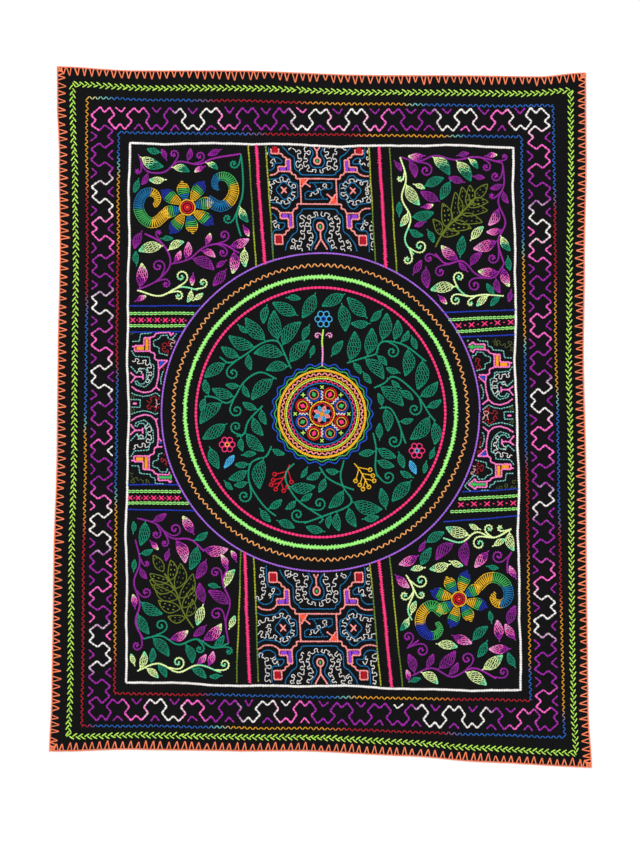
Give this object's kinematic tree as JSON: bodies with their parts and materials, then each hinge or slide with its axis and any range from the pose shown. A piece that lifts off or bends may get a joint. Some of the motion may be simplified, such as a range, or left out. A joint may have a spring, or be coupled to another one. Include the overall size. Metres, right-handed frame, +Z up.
{
  "type": "embroidered cloth",
  "caption": "Flat rectangular black cotton cloth with raised stitched borders, a framed centre with rings and bands, and a toothed yarn edging.",
  "frame": {"origin": "under the middle of the cloth, on the surface it lies on", "axes": "+Z up out of the embroidered face, +Y towards the top edge, +X to the right seen from above"},
  "size_m": [0.7101, 0.9181, 0.0028],
  "materials": {
    "ground_cotton": "matte black plain-weave cotton",
    "edging_yarn": "matte orange yarn",
    "embroidery_yarn": "matte yarn in bright mixed colours"
  },
  "bodies": {
    "root": {"cloth": "ground_cotton", "edging_top": "edging_yarn", "edging_bottom": "edging_yarn", "edging_left": "edging_yarn", "edging_right": "edging_yarn"}
  },
  "joints": []
}
